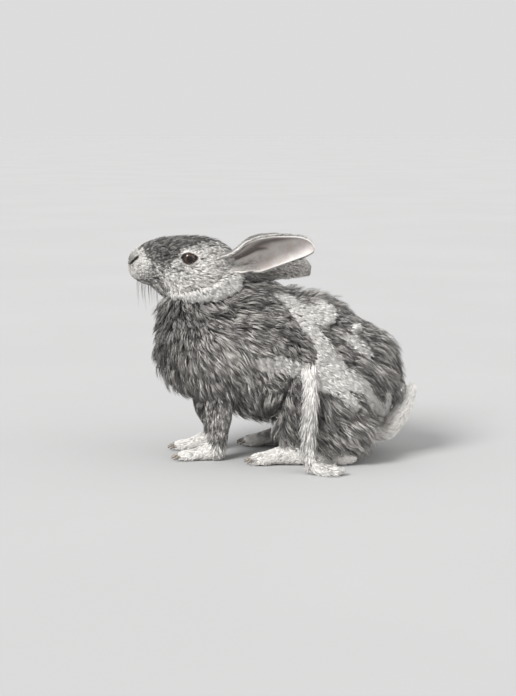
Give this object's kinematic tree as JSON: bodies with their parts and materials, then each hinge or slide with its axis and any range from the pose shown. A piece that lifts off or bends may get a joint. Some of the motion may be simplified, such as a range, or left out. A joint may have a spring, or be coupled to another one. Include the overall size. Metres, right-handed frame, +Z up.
{
  "type": "angora rabbit",
  "caption": "Long-coated rabbit in moult, sitting with its head up and ears laid back, a rope of shed wool hanging from its left flank.",
  "frame": {"origin": "on the floor under the middle of the bounding box", "axes": "+X towards the tail (the nose points to -X), +Y towards the animal's right side, +Z up"},
  "size_m": [0.3194, 0.2, 0.2511],
  "materials": {
    "coat_grey": "soft wool, matt",
    "coat_pale": "soft wool, matt",
    "ear_skin": "thin skin under fine down",
    "eye": "wet gloss"
  },
  "bodies": {
    "root": {"head": "coat_grey", "neck": "coat_grey", "chest": "coat_grey", "torso": "coat_grey", "rump": "coat_grey", "thigh_left": "coat_grey", "thigh_right": "coat_grey", "foreleg_left": "coat_grey", "foreleg_right": "coat_grey", "forepaw_left": "coat_pale", "forepaw_right": "coat_pale", "hind_foot_left": "coat_pale", "hind_foot_right": "coat_pale", "tail": "coat_pale", "wool_rope": "coat_pale", "ear_left": "ear_skin", "ear_right": "ear_skin", "eye_left": "eye", "eye_right": "eye"}
  },
  "joints": []
}
